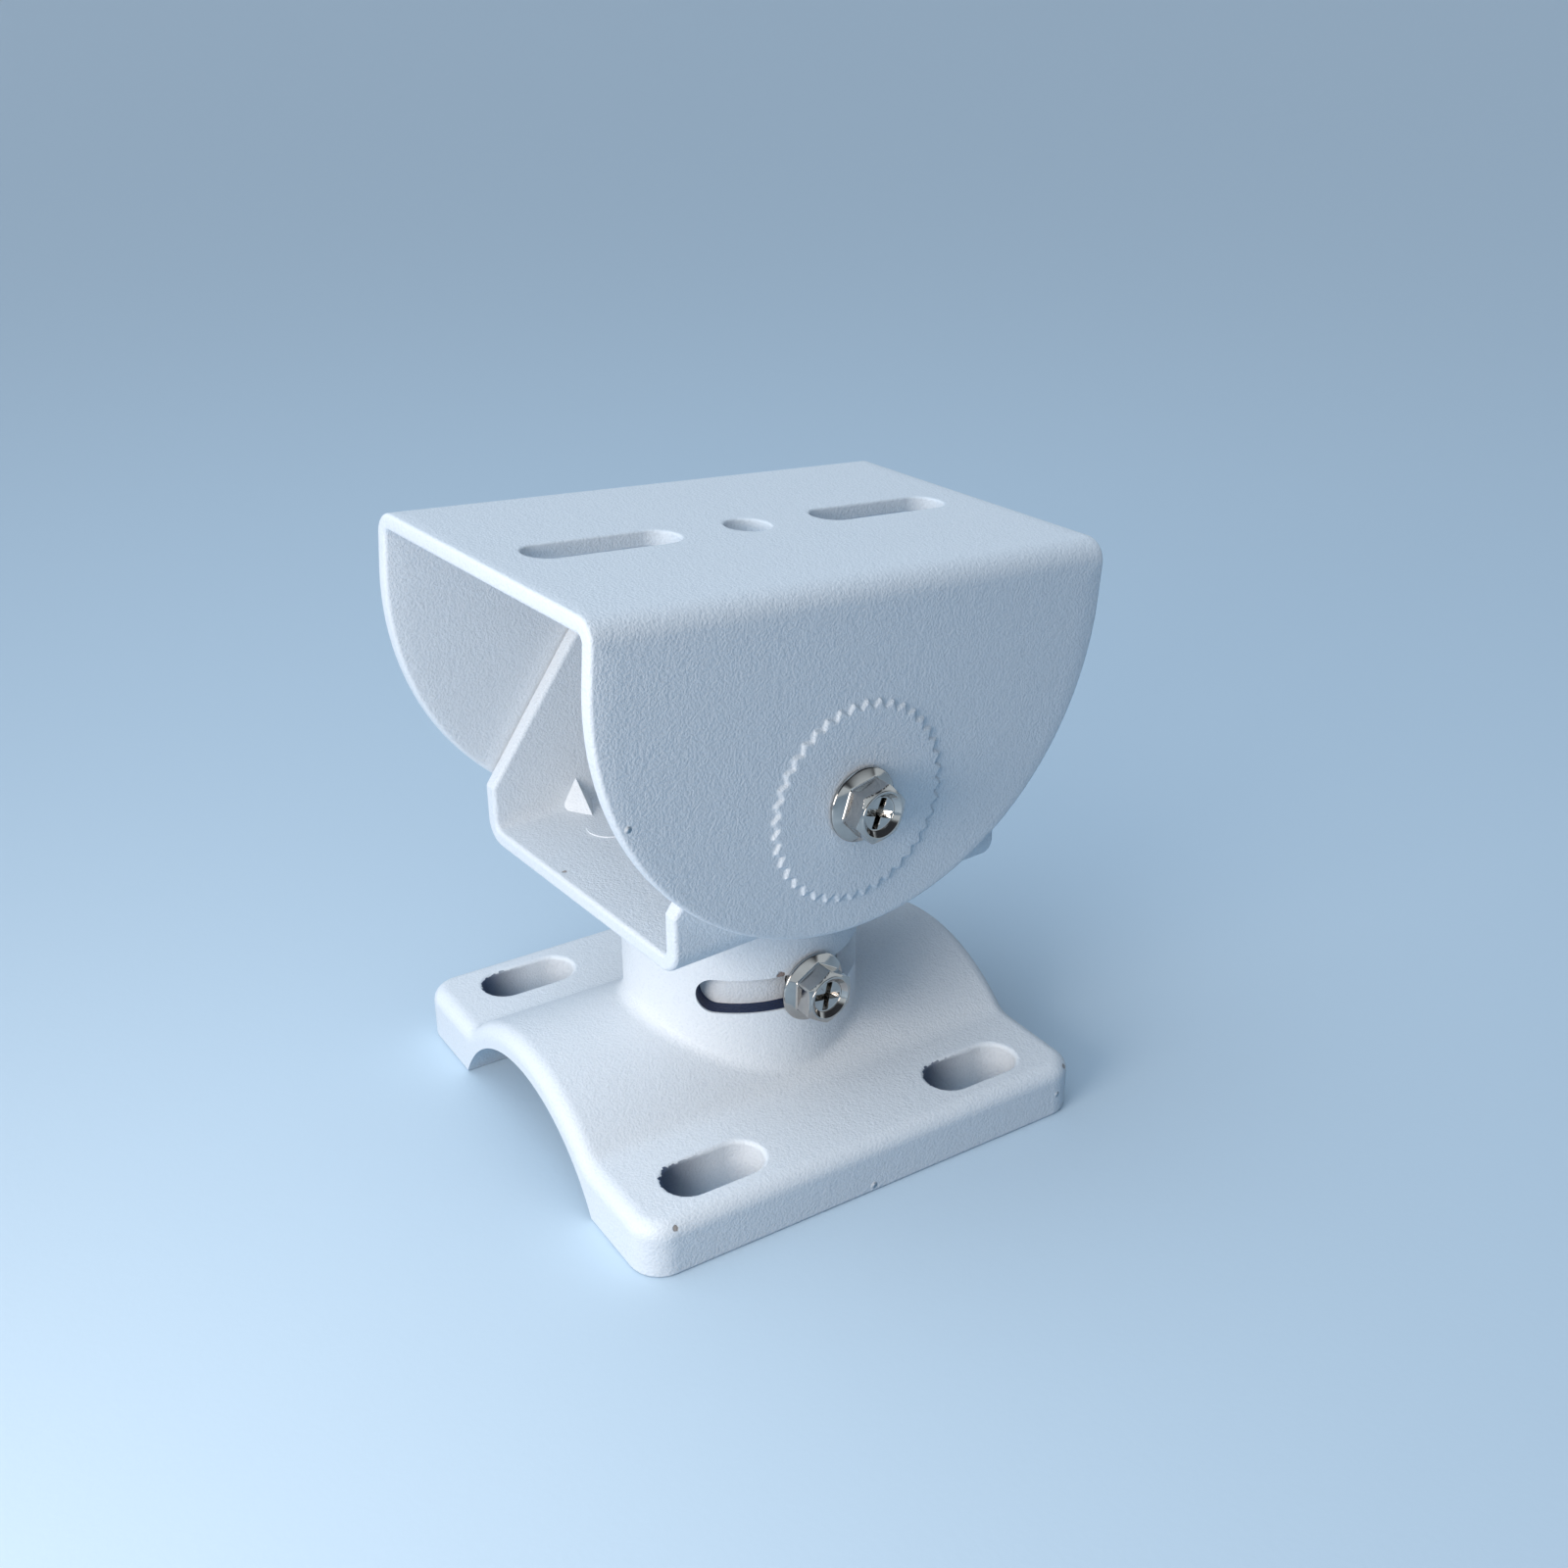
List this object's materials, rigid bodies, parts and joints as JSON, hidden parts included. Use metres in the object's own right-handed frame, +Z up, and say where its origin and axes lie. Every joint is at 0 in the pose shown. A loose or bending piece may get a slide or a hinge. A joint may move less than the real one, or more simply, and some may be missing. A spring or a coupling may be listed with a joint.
{
  "type": "camera pole clamp bracket",
  "caption": "Arched saddle base for a round pole with a slotted collar, a turning yoke locked by screws, and a tipping channel-shaped camera plate with toothed locking discs.",
  "frame": {"origin": "centre of the saddle base's standing face", "axes": "+Z up along the axis on which the yoke turns, X along the pole, Y across it; the front lock screw and the front cheek are on the -Y side"},
  "size_m": [0.0944, 0.08, 0.0978],
  "materials": {
    "white_coat": "white textured powder coat, fine orange peel",
    "plated_steel": "bright nickel plating"
  },
  "bodies": {
    "base": {"saddle_base": "white_coat"},
    "yoke": {"yoke": "white_coat", "pivot_screw_front": "plated_steel", "pivot_nut_front": "plated_steel", "lock_screw_front": "plated_steel", "pivot_screw_rear": "plated_steel", "pivot_nut_rear": "plated_steel", "lock_screw_rear": "plated_steel"},
    "channel": {"top_channel": "white_coat"}
  },
  "joints": [
    {"name": "pan", "type": "hinge", "parent": "base", "child": "yoke", "pos_m": [0, 0, 0.03], "axis": [0, 0, 1], "range_deg": [-47, 38.8]},
    {"name": "tilt", "type": "hinge", "parent": "yoke", "child": "channel", "pos_m": [0, 0, 0.06135], "axis": [-0.0725, 0.9974, 0], "range_deg": [-84, 75.6]}
  ]
}
